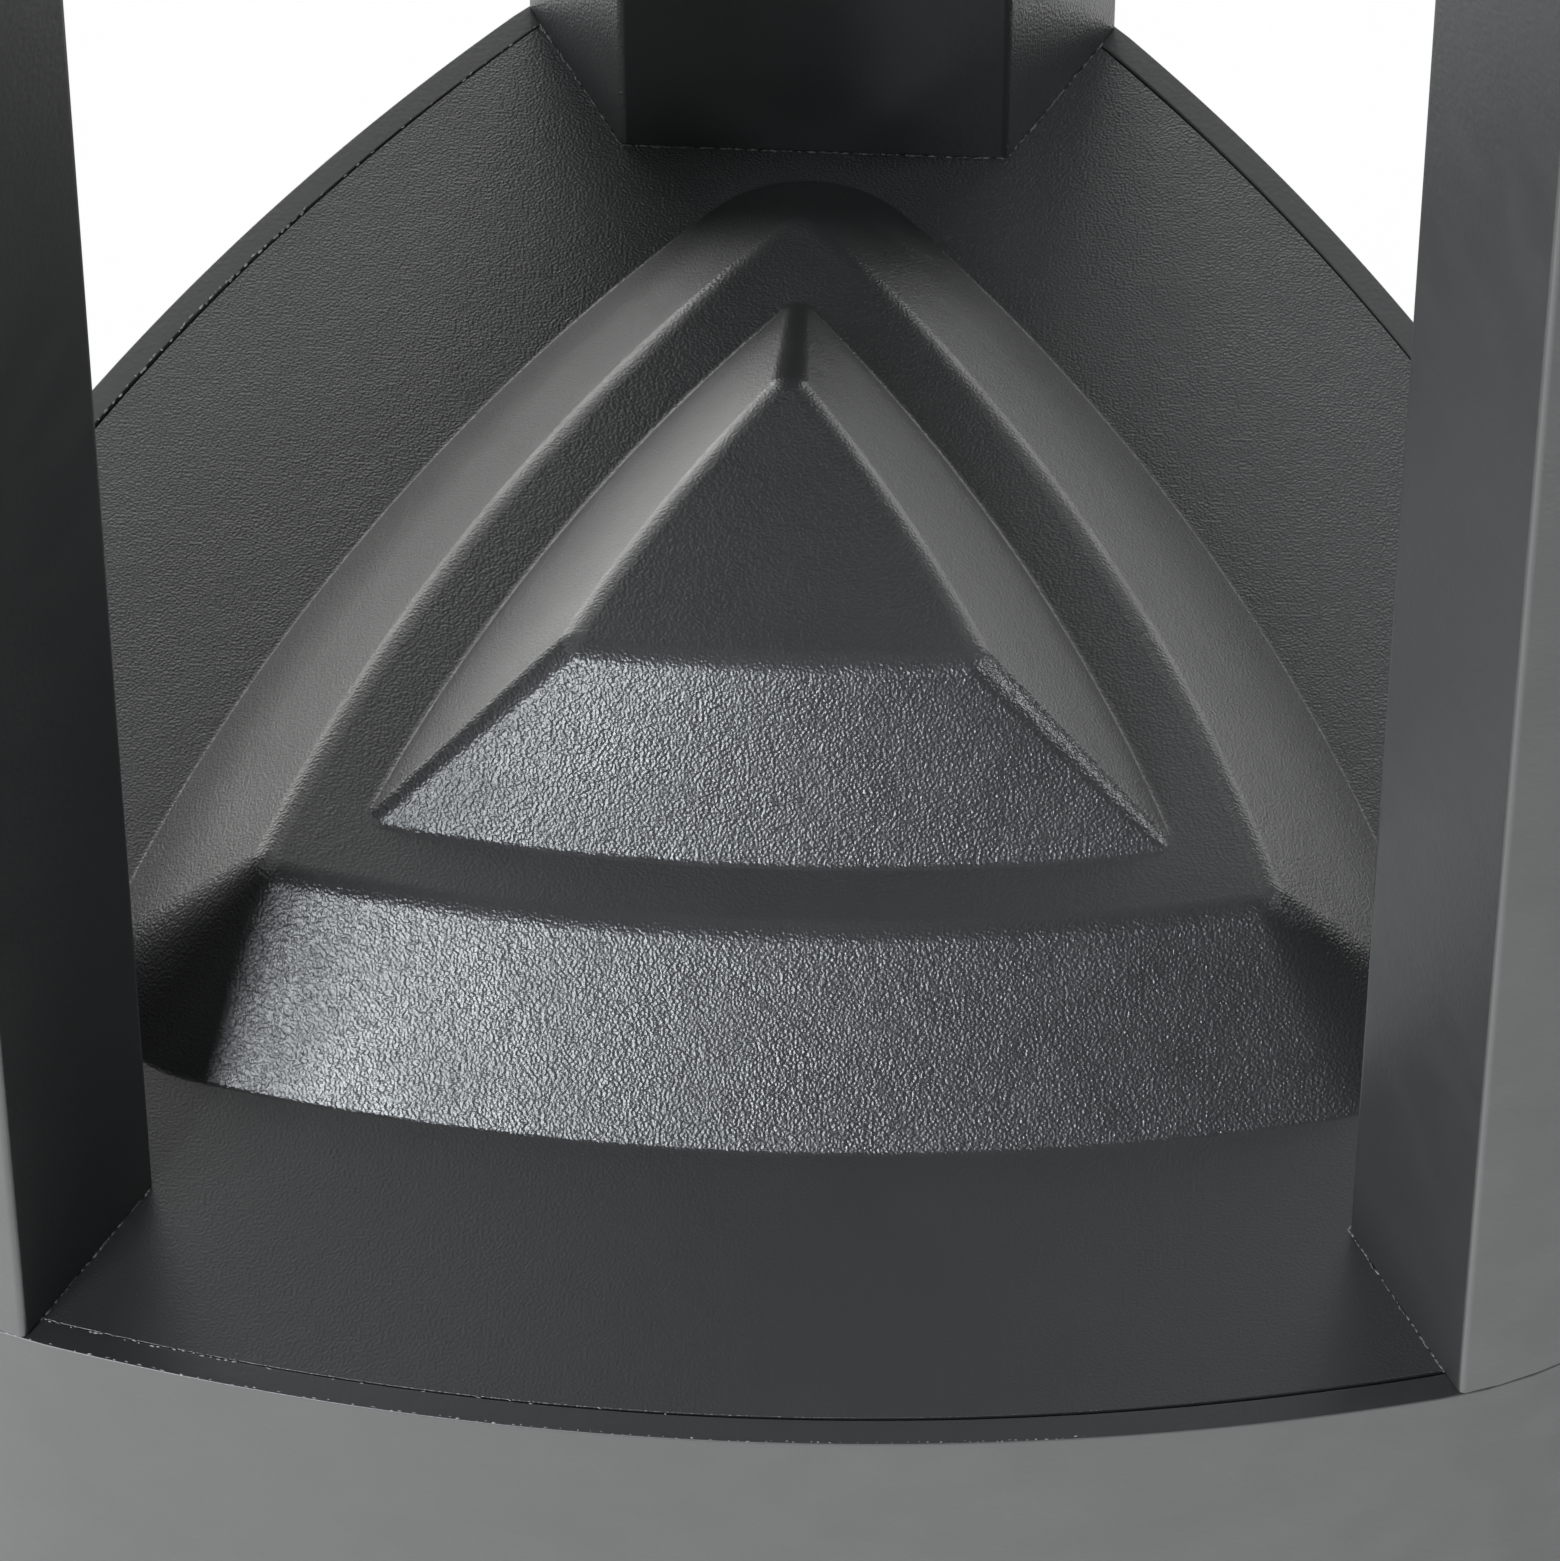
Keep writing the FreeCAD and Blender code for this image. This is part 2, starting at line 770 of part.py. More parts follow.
def make_earth_nuts():
    place = ray(earth_angle, earth_distance)
    nuts = []
    for step in range(earth_nut_count):
        low = plinth_height + step * earth_nut_height
        nut = hexagon(earth_flats, low, low + earth_nut_height, place)
        nuts.append(nut.cut(rod(earth_radius + thread_clearance, low, low + earth_nut_height, place)))
    return Part.makeCompound(nuts)


# Corners of the lead's route: up from the driver, across to the rear post, up it and in to the board
def lead_points():
    x = lead_place().x
    y = lead_place().y
    level = board_low - lead_drop
    return [
        V(x, (tray_face + driver_face) / 2, driver_high - lead_bore_depth),
        V(x, (tray_face + driver_face) / 2, lead_cross_low),
        V(x, y, lead_cross_high),
        V(x, y, level),
        V(x, connector_distance - lead_bore_depth, level),
    ]


# Straight runs joined by arcs that meet them smoothly
def bent_path(points, bend):
    edges = []
    start = points[0]
    for before, corner, after in zip(points, points[1:], points[2:]):
        arriving = (corner - before).normalize()
        leaving = (after - corner).normalize()
        half = arriving.getAngle(leaving) / 2
        touch = bend * math.tan(half)
        inward = (leaving - arriving).normalize()
        middle = corner + inward * (bend / math.cos(half) - bend)
        arc_start = corner - arriving * touch
        arc_end = corner + leaving * touch
        edges.append(Part.makeLine(start, arc_start))
        edges.append(Part.Arc(arc_start, middle, arc_end).toShape())
        start = arc_end
    edges.append(Part.makeLine(start, points[-1]))
    return Part.Wire(edges)


def make_lead():
    points = lead_points()
    ring = Part.makeCircle(lead_radius, points[0], V(0, 0, 1))
    return bent_path(points, lead_bend).makePipeShell([Part.Wire([ring])], True, True)


def lead_path_start(grow):
    start = lead_points()[0]
    return Part.makeCylinder(lead_radius + grow, lead_bore_depth, start)


def lead_path_end(grow):
    end = lead_points()[-1]
    return Part.makeCylinder(lead_radius + grow, lead_bore_depth, end, V(0, 1, 0))


def make_parts():
    parts = {
        "column": make_column(),
        "deflector": make_deflector(),
        "head_casting": make_head(),
        "lens_frame": make_lens_frame(),
        "frame_gasket": make_frame_gasket(),
        "frame_screws": make_frame_screws(),
        "lens": make_lens(),
        "lens_gasket": make_lens_gasket(),
        "lens_ring": make_lens_ring(),
        "lens_ring_screws": make_ring_screws(),
        "thermal_pad": make_thermal_pad(),
        "led_board": make_board(),
        "led_board_screws": make_board_screws(),
        "led_chips": make_chips(),
        "led_connector": make_connector(),
        "tie_rods": make_tie_rods(),
        "tie_rod_washers": make_washers(),
        "tie_rod_nuts": make_nuts(),
        "base_plate": make_base(),
        "set_screws": make_set_screws(),
        "cable_grommet": make_grommet(),
        "gear_tray": make_tray(),
        "tray_screws": make_tray_screws(),
        "driver": make_driver(),
        "driver_screws": make_driver_screws(),
        "terminal_block": make_terminal(),
        "terminal_screw": make_terminal_screw(),
        "earth_stud": make_earth_stud(),
        "earth_nuts": make_earth_nuts(),
        "led_lead": make_lead(),
    }
    for name, angle in corner_angles.items():
        parts["post_" + name] = make_post(angle)
    return parts


os.makedirs("parts", exist_ok=True)
for name, shape in make_parts().items():
    shape.exportStep("parts/" + name + ".step")
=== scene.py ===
import bpy
import bmesh
import math
import random
from mathutils import Matrix, Vector


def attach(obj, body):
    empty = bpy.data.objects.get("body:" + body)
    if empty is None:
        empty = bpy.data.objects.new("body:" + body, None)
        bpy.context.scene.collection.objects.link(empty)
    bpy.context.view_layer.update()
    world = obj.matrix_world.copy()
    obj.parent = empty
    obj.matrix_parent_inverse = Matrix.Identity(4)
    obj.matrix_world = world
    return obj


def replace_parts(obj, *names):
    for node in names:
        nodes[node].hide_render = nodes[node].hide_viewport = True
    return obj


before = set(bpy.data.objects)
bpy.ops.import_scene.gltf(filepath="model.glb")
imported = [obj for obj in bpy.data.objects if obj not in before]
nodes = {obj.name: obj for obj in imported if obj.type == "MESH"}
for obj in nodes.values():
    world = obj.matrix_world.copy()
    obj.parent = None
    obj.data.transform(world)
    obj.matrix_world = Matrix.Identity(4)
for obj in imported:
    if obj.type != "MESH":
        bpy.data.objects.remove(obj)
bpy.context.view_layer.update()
print("frame loaded with", len(nodes), "nodes")

# plan outline of the whole light: three bulging sides, three rounded corners
outlinePlan = {
    "apothem": 0.075,
    "sideRadius": 0.25,
    "cornerRadius": 0.04,
    "sideSteps": 24,
    "cornerSteps": 15,
}
levels = {"plinth": 0.006, "sill": 0.4, "headBottom": 0.6, "headTop": 0.65}
sideAngles = (-90, 30, 150)
postAngles = {"rear": 90, "left": 210, "right": 330}
sideBack = outlinePlan["sideRadius"] - outlinePlan["apothem"]  # from the axis to a side's centre
samePlace = 1e-6  # points closer than this are one


def ray(angle, distance, side=0.0, height=0.0):
    turn = math.radians(angle)
    x = distance * math.cos(turn) - side * math.sin(turn)
    y = distance * math.sin(turn) + side * math.cos(turn)
    return Vector((x, y, height))


def cornerCentre(inset, rounding):
    reach = outlinePlan["sideRadius"] - inset - rounding
    return (math.sqrt(4 * reach ** 2 - 3 * sideBack ** 2) - sideBack) / 2


def vertsIn(geometry):
    return [item for item in geometry if isinstance(item, bmesh.types.BMVert)]


# a third of the outline, from the middle of the front to that of the next side, as three spins
def outlineThird(bm, inset, height, rounding=None):
    if rounding is None:
        rounding = outlinePlan["cornerRadius"] - inset
    pivots = [ray(90, sideBack, 0, height), ray(-30, cornerCentre(inset, rounding), 0, height),
              ray(-150, sideBack, 0, height)]
    halfSide = math.atan2(pivots[1].x, sideBack - pivots[1].y)
    sweeps = [halfSide, math.radians(120) - 2 * halfSide, halfSide]
    steps = [outlinePlan["sideSteps"], outlinePlan["cornerSteps"], outlinePlan["sideSteps"]]
    known = set(bm.edges)
    last = [bm.verts.new(ray(-90, outlinePlan["apothem"] - inset, 0, height))]
    for pivot, sweep, count in zip(pivots, sweeps, steps):
        turned = bmesh.ops.spin(bm, geom=last, cent=pivot, axis=(0, 0, 1), angle=sweep,
                                steps=count)
        last = vertsIn(turned["geom_last"])
    return [edge for edge in bm.edges if edge not in known]


# stations are (inset, height) or (inset, height, rounding); the bridged third is then copied round
def loftOutlines(bm, stations, closed=False):
    mark = bm.edges.layers.int.new("station")
    thirds = []
    for index, station in enumerate(stations, 1):
        thirds.append(outlineThird(bm, *station))
        for edge in thirds[-1]:
            edge[mark] = index
    pairs = list(zip(thirds, thirds[1:]))
    if closed:
        pairs.append((thirds[-1], thirds[0]))
    for lower, upper in pairs:
        bmesh.ops.bridge_loops(bm, edges=lower + upper)
    bmesh.ops.spin(bm, geom=bm.verts[:] + bm.edges[:] + bm.faces[:], cent=(0, 0, 0),
                   axis=(0, 0, 1), angle=math.radians(240), steps=2, use_duplicate=True)
    bmesh.ops.remove_doubles(bm, verts=bm.verts, dist=samePlace)
    return [[edge for edge in bm.edges if edge[mark] == index]
            for index in range(1, len(stations) + 1)]


def roundEdges(bm, edges, width, segments):
    bmesh.ops.bevel(bm, geom=edges, offset=width, offset_type="OFFSET", segments=segments,
                    profile=0.5, affect="EDGES", clamp_overlap=False, material=-1)


def addObject(name, bm):
    mesh = bpy.data.meshes.new(name)
    bm.to_mesh(mesh)
    bm.free()
    item = bpy.data.objects.new(name, mesh)
    bpy.context.scene.collection.objects.link(item)
    return item


def makePiece(name, bm, material):
    bmesh.ops.recalc_face_normals(bm, faces=bm.faces)
    for face in bm.faces:
        face.smooth = True
    piece = addObject(name, bm)
    piece.data.materials.append(material)
    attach(piece, "root")
    return piece


def flattenNormals(piece, weight=60):
    weighted = piece.modifiers.new("flatNormals", "WEIGHTED_NORMAL")
    weighted.weight = weight
    weighted.keep_sharp = True


# helpers for materials, all on object coordinates
def newMaterial(name):
    material = bpy.data.materials.new(name)
    material.use_nodes = True
    tree = material.node_tree
    shader = tree.nodes["Principled BSDF"]
    coords = tree.nodes.new("ShaderNodeTexCoord")
    return material, tree, shader, coords


def addNoise(tree, coords, scale, detail=2.0, roughness=0.5, distortion=0.0):
    noise = tree.nodes.new("ShaderNodeTexNoise")
    noise.inputs["Scale"].default_value = scale
    noise.inputs["Detail"].default_value = detail
    noise.inputs["Roughness"].default_value = roughness
    noise.inputs["Distortion"].default_value = distortion
    tree.links.new(coords.outputs["Object"], noise.inputs["Vector"])
    return noise.outputs["Fac"]


def addRamp(tree, value, stops):
    ramp = tree.nodes.new("ShaderNodeValToRGB")
    for element, (place, colour) in zip(ramp.color_ramp.elements, stops):
        element.position = place
        element.color = (*colour, 1)
    tree.links.new(value, ramp.inputs["Fac"])
    return ramp.outputs["Color"]


def addRange(tree, value, low, high, fromLow=0.3, fromHigh=0.7):
    spread = tree.nodes.new("ShaderNodeMapRange")
    spread.inputs["From Min"].default_value = fromLow
    spread.inputs["From Max"].default_value = fromHigh
    spread.inputs["To Min"].default_value = low
    spread.inputs["To Max"].default_value = high
    tree.links.new(value, spread.inputs["Value"])
    return spread.outputs["Result"]


def addMath(tree, operation, first, second):
    node = tree.nodes.new("ShaderNodeMath")
    node.operation = operation
    for socket, value in zip(node.inputs, (first, second)):
        if isinstance(value, (int, float)):
            socket.default_value = value
        else:
            tree.links.new(value, socket)
    return node.outputs["Value"]


def addBump(tree, height, depth, strength=None, below=None):
    bump = tree.nodes.new("ShaderNodeBump")
    bump.inputs["Strength"].default_value = 1.0
    bump.inputs["Distance"].default_value = depth
    if strength is not None:
        tree.links.new(strength, bump.inputs["Strength"])
    tree.links.new(height, bump.inputs["Height"])
    if below is not None:
        tree.links.new(below, bump.inputs["Normal"])
    return bump.outputs["Normal"]


# the colour drifts from dark to light, and the gloss varies in patches
def addFinish(tree, coords, shader, look, noise):
    drift = addNoise(tree, coords, noise["driftScale"], noise["driftDetail"])
    stops = list(zip(noise["driftStops"], (look["dark"], look["light"])))
    tree.links.new(addRamp(tree, drift, stops), shader.inputs["Base Color"])
    patch = addNoise(tree, coords, noise["patchScale"], noise["patchDetail"])
    gloss = addRange(tree, patch, look["smoothest"], look["roughest"])
    tree.links.new(gloss, shader.inputs["Roughness"])


# textured powder coat: fine rounded grain over a slow orange peel
coatNoise = {
    "grainDetail": 0.6, "grainRoughness": 0.45, "grainDistortion": 0.1, "peelDetail": 2.0,
    "driftScale": 22.0, "driftDetail": 3.0, "driftStops": (0.3, 0.7),
    "patchScale": 160.0, "patchDetail": 3.0,
}
# ranges of normal Z, of Y in metres and of normal Y over which the grain fades
grainZones = {"level": (0.9, 0.99), "frontToRear": (-0.03, 0.005), "rearSlope": (0.02, 0.2)}


# the powder flowed out flatter on level faces, most of all towards the front, and on rear slopes
def grainSpread(tree, coords, look):
    facing = tree.nodes.new("ShaderNodeSeparateXYZ")
    tree.links.new(coords.outputs["Normal"], facing.inputs["Vector"])
    place = tree.nodes.new("ShaderNodeSeparateXYZ")
    tree.links.new(coords.outputs["Object"], place.inputs["Vector"])
    level = addRange(tree, facing.outputs["Z"], 0.0, 1.0, *grainZones["level"])
    depth = addRange(tree, place.outputs["Y"], 1 - look["onFrontLevel"], 1 - look["onRearLevel"],
                     *grainZones["frontToRear"])
    calmLevel = addMath(tree, "MULTIPLY", level, depth)
    calmSlope = addRange(tree, facing.outputs["Y"], 0.0, 1 - look["onRearSlope"],
                         *grainZones["rearSlope"])
    return addMath(tree, "SUBTRACT", 1.0, addMath(tree, "MAXIMUM", calmLevel, calmSlope))


def coatMaterial(name, look):
    material, tree, shader, coords = newMaterial(name)
    pebble = addNoise(tree, coords, look["grainScale"], coatNoise["grainDetail"],
                      coatNoise["grainRoughness"], coatNoise["grainDistortion"])
    peel = addNoise(tree, coords, look["peelScale"], coatNoise["peelDetail"])
    spread = grainSpread(tree, coords, look)
    slow = addBump(tree, peel, look["peelDepth"], spread)
    grain = addBump(tree, pebble, look["grainDepth"], spread, slow)
    tree.links.new(grain, shader.inputs["Normal"])
    addFinish(tree, coords, shader, look, coatNoise)
    shader.inputs["IOR"].default_value = look["ior"]
    return material


# one powder coat in copies of different brightness: the deflector's copy, the column's copy painted
# lighter for the light falling on it, and the posts' copies painted darker for their shade
deflectorCoatLook = {
    "grainScale": 3800.0, "grainDepth": 0.000088, "peelScale": 420.0, "peelDepth": 0.00005,
    "onFrontLevel": 0.4, "onRearLevel": 1.0, "onRearSlope": 0.6,
    "dark": (0.034, 0.035, 0.036), "light": (0.039, 0.040, 0.041),
    "smoothest": 0.32, "roughest": 0.39, "ior": 2.0,
}
# the column's copy, painted light; it also dresses the head, the posts' outer faces, the base plate
# and the lens frame
paintedLightCoatLook = {
    "grainScale": 2000.0, "grainDepth": 0.00002, "peelScale": 420.0, "peelDepth": 0.00002,
    "onFrontLevel": 1.0, "onRearLevel": 1.0, "onRearSlope": 1.0,
    "dark": (0.101, 0.104, 0.101), "light": (0.112, 0.115, 0.112),
    "smoothest": 0.42, "roughest": 0.48, "ior": 2.0,
}
# the posts' copy, painted shade; it also dresses the column's rim
paintedShadePostCoatLook = {
    **paintedLightCoatLook,
    "dark": (0.029, 0.030, 0.031), "light": (0.033, 0.034, 0.035),
    "smoothest": 0.34, "roughest": 0.40,
}
# the rear post's copy, painted shade, darker than the deflector's
paintedShadeRearPostCoatLook = {
    **deflectorCoatLook,
    "dark": (0.028, 0.029, 0.030), "light": (0.032, 0.033, 0.034),
}
deflectorCoat = coatMaterial("deflectorCoat", deflectorCoatLook)
paintedShadeRearPostCoat = coatMaterial("paintedShadeRearPostCoat", paintedShadeRearPostCoatLook)
paintedShadePostCoat = coatMaterial("paintedShadePostCoat", paintedShadePostCoatLook)
paintedLightCoat = coatMaterial("paintedLightCoat", paintedLightCoatLook)
print("coats made")

# plain metals and plastics of the inner gear, with a fine grain each
plainNoise = {
    "driftScale": 60.0, "driftDetail": 3.0, "driftStops": (0.3, 0.7),
    "patchScale": 240.0, "patchDetail": 3.0,
}
plainLooks = {
    "zincSteel": {
        "dark": (0.46, 0.46, 0.45), "light": (0.56, 0.56, 0.55), "metal": 1.0,
        "smoothest": 0.28, "roughest": 0.4, "grainScale": 900.0, "grainDepth": 0.00002,
    },
    "turnedAluminium": {
        "dark": (0.6, 0.61, 0.62), "light": (0.68, 0.69, 0.7), "metal": 1.0,
        "smoothest": 0.3, "roughest": 0.42, "grainScale": 700.0, "grainDepth": 0.00002,
    },
    "plainBrass": {
        "dark": (0.55, 0.41, 0.18), "light": (0.63, 0.48, 0.22), "metal": 1.0,
        "smoothest": 0.28, "roughest": 0.4, "grainScale": 900.0, "grainDepth": 0.00002,
    },
    "blackRubber": {
        "dark": (0.016, 0.016, 0.016), "light": (0.024, 0.024, 0.024), "metal": 0.0,
        "smoothest": 0.6, "roughest": 0.75, "grainScale": 1200.0, "grainDepth": 0.00003,
    },
    "opalLens": {
        "dark": (0.82, 0.82, 0.80), "light": (0.86, 0.86, 0.84), "metal": 0.0,
        "smoothest": 0.3, "roughest": 0.4, "grainScale": 500.0, "grainDepth": 0.000004,
    },
    "whiteCase": {
        "dark": (0.74, 0.74, 0.71), "light": (0.79, 0.79, 0.76), "metal": 0.0,
        "smoothest": 0.42, "roughest": 0.55, "grainScale": 1500.0, "grainDepth": 0.00002,
    },
    "blackSheath": {
        "dark": (0.016, 0.016, 0.017), "light": (0.024, 0.024, 0.025), "metal": 0.0,
        "smoothest": 0.45, "roughest": 0.6, "grainScale": 1500.0, "grainDepth": 0.00002,
    },
}


def plainMaterial(name, look, noise):
    material, tree, shader, coords = newMaterial(name)
    addFinish(tree, coords, shader, look, noise)
    shader.inputs["Metallic"].default_value = look["metal"]
    grain = addNoise(tree, coords, look["grainScale"])
    tree.links.new(addBump(tree, grain, look["grainDepth"]), shader.inputs["Normal"])
    return material


finishes = {name: plainMaterial(name, look, plainNoise) for name, look in plainLooks.items()}
# the column's lighter copy of the coat, painted light, also goes on the base plate and the lens
# frame
finishes["paintedLightCoat"] = paintedLightCoat
finishNodes = {
    "blackRubber": ["frame_gasket", "lens_gasket", "thermal_pad", "cable_grommet"],
    "zincSteel": ["frame_screws", "lens_ring_screws", "led_board_screws", "tie_rods",
                  "tie_rod_washers", "tie_rod_nuts", "set_screws", "gear_tray", "tray_screws",
                  "driver_screws", "terminal_screw"],
    "opalLens": ["lens"],
    "turnedAluminium": ["lens_ring", "led_board"],
    "whiteCase": ["led_chips", "led_connector", "driver", "terminal_block"],
    "plainBrass": ["earth_stud", "earth_nuts"],
    "blackSheath": ["led_lead"],
    "paintedLightCoat": ["base_plate", "lens_frame"],
}
for finishName, nodeNames in finishNodes.items():
    for nodeName in nodeNames:
        node = nodes[nodeName]
        node.data.materials.clear()
        node.data.materials.append(finishes[finishName])
print("finishes set on", sum(map(len, finishNodes.values())), "CAD nodes")

# stepped deflector, which sits a hair askew in its seat
deflectorCast = {
    "flangeInset": 0.002755, "flangeDepth": 0.004, "tierHeight": 0.0135,
    "lowerBase": 0.0304, "lowerBaseRounding": 0.01202,
    "lowerTop": 0.0445, "lowerTopRounding": 0.002,
    "upperBase": 0.0513, "upperBaseRounding": 0.0016,
    "upperTop": 0.0634, "upperTopRounding": 0.0018,
    "rimRound": 0.00008, "rimSteps": 2,
    "lowerFoot": 0.00025, "lowerFootSteps": 4, "upperFoot": 0.0004, "upperFootSteps": 5,
    "lowerCrest": 0.0014, "upperCrest": 0.0014, "crestSteps": 5,
    "twist": 0.25, "settle": (0.00012, -0.00003, 0.0),
}


def buildDeflector(cast):
    sill = levels["sill"]
    step = sill + cast["tierHeight"]
    crest = step + cast["tierHeight"]
    bm = bmesh.new()
    underside, rim, lowerFoot, lowerCrest, upperFoot, upperCrest = loftOutlines(bm, [
        (cast["flangeInset"], sill - cast["flangeDepth"]),
        (cast["flangeInset"], sill),
        (cast["lowerBase"], sill, cast["lowerBaseRounding"]),
        (cast["lowerTop"], step, cast["lowerTopRounding"]),
        (cast["upperBase"], step, cast["upperBaseRounding"]),
        (cast["upperTop"], crest, cast["upperTopRounding"]),
    ])
    bmesh.ops.contextual_create(bm, geom=underside)
    bmesh.ops.contextual_create(bm, geom=upperCrest)
    roundEdges(bm, rim, cast["rimRound"], cast["rimSteps"])
    roundEdges(bm, lowerFoot, cast["lowerFoot"], cast["lowerFootSteps"])
    roundEdges(bm, upperFoot, cast["upperFoot"], cast["upperFootSteps"])
    roundEdges(bm, lowerCrest, cast["lowerCrest"], cast["crestSteps"])
    roundEdges(bm, upperCrest, cast["upperCrest"], cast["crestSteps"])
    turn = Matrix.Rotation(math.radians(cast["twist"]), 3, "Z")
    bmesh.ops.rotate(bm, cent=(0, 0, 0), matrix=turn, verts=bm.verts)
    bmesh.ops.translate(bm, vec=cast["settle"], verts=bm.verts)
    piece = makePiece("deflectorCasting", bm, deflectorCoat)
    flattenNormals(piece)
    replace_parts(piece, "deflector")
    return piece


buildDeflector(deflectorCast)
print("deflector built")

# column tube with its set screw holes
columnTube = {
    "wall": 0.0025,
    "rimOuter": 0.00016, "rimOuterSteps": 3, "rimInner": 0.0001, "rimInnerSteps": 2,
    "screwHeight": 0.021, "screwHole": 0.0033, "holeSteps": 40, "drillDepth": 0.02,
    "rimNormal": 0.9, "sharpAngle": 35,
}


def buildColumn(tube):
    bm = bmesh.new()
    outerFoot, outerRim, innerRim = loftOutlines(bm, [
        (0.0, levels["plinth"]),
        (0.0, levels["sill"]),
        (tube["wall"], levels["sill"]),
        (tube["wall"], levels["plinth"]),
    ], closed=True)[:3]
    roundEdges(bm, outerFoot + outerRim, tube["rimOuter"], tube["rimOuterSteps"])
    roundEdges(bm, innerRim, tube["rimInner"], tube["rimInnerSteps"])
    # the tube takes the lighter copy of the coat, painted light
    piece = makePiece("columnTube", bm, paintedLightCoat)
    cutter = bmesh.new()
    lying = Matrix.Rotation(math.radians(90), 4, "Y")
    halfStep = Matrix.Rotation(math.pi / tube["holeSteps"], 4, "Z")  # off the tube's edges
    for angle in sideAngles:
        turn = Matrix.Rotation(math.radians(angle), 4, "Z") @ lying
        place = Matrix.Translation(ray(angle, outlinePlan["apothem"], 0, tube["screwHeight"]))
        bmesh.ops.create_cone(cutter, cap_ends=True, segments=tube["holeSteps"],
                              radius1=tube["screwHole"], radius2=tube["screwHole"],
                              depth=tube["drillDepth"], matrix=place @ turn @ halfStep)
    cutPiece = addObject("screwHoles", cutter)
    drill = piece.modifiers.new("drill", "BOOLEAN")
    drill.operation = "DIFFERENCE"
    drill.solver = "EXACT"
    drill.object = cutPiece
    shown = piece.evaluated_get(bpy.context.evaluated_depsgraph_get())
    drilled = bpy.data.meshes.new_from_object(shown)
    piece.modifiers.clear()
    piece.data = drilled
    bpy.data.objects.remove(cutPiece)
    drilled.materials.append(paintedShadePostCoat)  # the cut rim's top takes the darker copy of the coat, painted shade, as on the posts on it
    for polygon in drilled.polygons:
        polygon.use_smooth = True
        if polygon.normal.z > tube["rimNormal"]:
            polygon.material_index = 1
    drilled.set_sharp_from_angle(angle=math.radians(tube["sharpAngle"]))
    flattenNormals(piece)
    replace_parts(piece, "column")
    return piece


buildColumn(columnTube)
print("column built")

# posts at the three corners; faces within outerSkin of the corner arc take the column's lighter
# copy of the coat, painted light
postBar = {
    "depth": 0.0279, "halfWidth": 0.0179, "splay": 30.0, "arcSteps": 17,
    "edge": 0.0006, "edgeSteps": 5, "foot": 0.00025, "footSteps": 2,
    "outerSkin": 0.0003, "uprightNormal": 0.5, "innerNormal": 0.9,
}
# the posts' sides take darker copies of the coat, painted shade
postCoats = {"rear": paintedShadeRearPostCoat, "left": paintedShadePostCoat, "right": paintedShadePostCoat}


# distances of the arc's centre, the inner face and the splayed sides' ends, and their half width
def postPlan(bar, arcRadius):
    radius = outlinePlan["cornerRadius"]
    centre = cornerCentre(0, radius)
    inner = centre + radius - bar["depth"]
    slope = math.tan(math.radians(bar["splay"]))
    # where the splayed side meets the arc
    a = 1 + slope ** 2
    b = (inner - centre) + bar["halfWidth"] * slope
    c = (inner - centre) ** 2 + bar["halfWidth"] ** 2 - arcRadius ** 2
    run = (-b + math.sqrt(b * b - a * c)) / a
    return centre, inner, inner + run, bar["halfWidth"] + run * slope


def buildPost(name, angle, bar, material):
    radius = outlinePlan["cornerRadius"]
    centre, inner, reach, halfReach = postPlan(bar, radius)
    low = levels["sill"]
    bm = bmesh.new()
    outer = bm.verts.new(ray(0, reach, -halfReach, low))
    sweep = 2 * math.atan2(halfReach, reach - centre)
    turned = bmesh.ops.spin(bm, geom=[outer], cent=(centre, 0, low), axis=(0, 0, 1), angle=sweep,
                            steps=bar["arcSteps"])
    far = vertsIn(turned["geom_last"])[0]
    innerLeft = bm.verts.new(ray(0, inner, bar["halfWidth"], low))
    innerRight = bm.verts.new(ray(0, inner, -bar["halfWidth"], low))
    sharp = [corner.co.copy() for corner in (outer, far, innerLeft, innerRight)]
    for start, end in ((far, innerLeft), (innerLeft, innerRight), (innerRight, outer)):
        bm.edges.new((start, end))
    base = bmesh.ops.contextual_create(bm, geom=bm.edges[:])["faces"]
    top = bmesh.ops.extrude_face_region(bm, geom=base, use_keep_orig=True)["geom"]
    rise = levels["headBottom"] - low
    bmesh.ops.translate(bm, vec=(0, 0, rise), verts=vertsIn(top))
    upright = []
    for edge in bm.edges:
        first, second = edge.verts
        foot = Vector((first.co.x, first.co.y, low))
        standing = abs(abs(first.co.z - second.co.z) - rise) < samePlace
        if standing and min((foot - corner).length for corner in sharp) < samePlace:
            upright.append(edge)
    roundEdges(bm, upright, bar["edge"], bar["edgeSteps"])
    rims = [edge for edge in bm.edges if abs(edge.verts[0].co.z - edge.verts[1].co.z) < samePlace]
    roundEdges(bm, rims, bar["foot"], bar["footSteps"])
    turn = Matrix.Rotation(math.radians(angle), 3, "Z")
    bmesh.ops.rotate(bm, cent=(0, 0, 0), matrix=turn, verts=bm.verts)
    piece = makePiece(name, bm, material)
    piece.data.materials.append(paintedLightCoat)  # the outer face takes the column's lighter copy of the coat, painted light
    piece.data.materials.append(paintedShadePostCoat)  # the inner face takes the calmest grain, in the posts' darker copy of the coat, painted shade
    middle = ray(angle, centre)
    for polygon in piece.data.polygons:
        away = math.hypot(polygon.center.x - middle.x, polygon.center.y - middle.y)
        if abs(polygon.normal.z) < bar["uprightNormal"] and away > radius - bar["outerSkin"]:
            polygon.material_index = 1
        elif polygon.normal.dot(ray(angle, -1)) > bar["innerNormal"]:
            polygon.material_index = 2
    flattenNormals(piece)
    return piece


for side, angle in postAngles.items():
    coat = postCoats[side]
    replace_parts(buildPost(side + "Post", angle, postBar, coat), "post_" + side)
print("posts built")
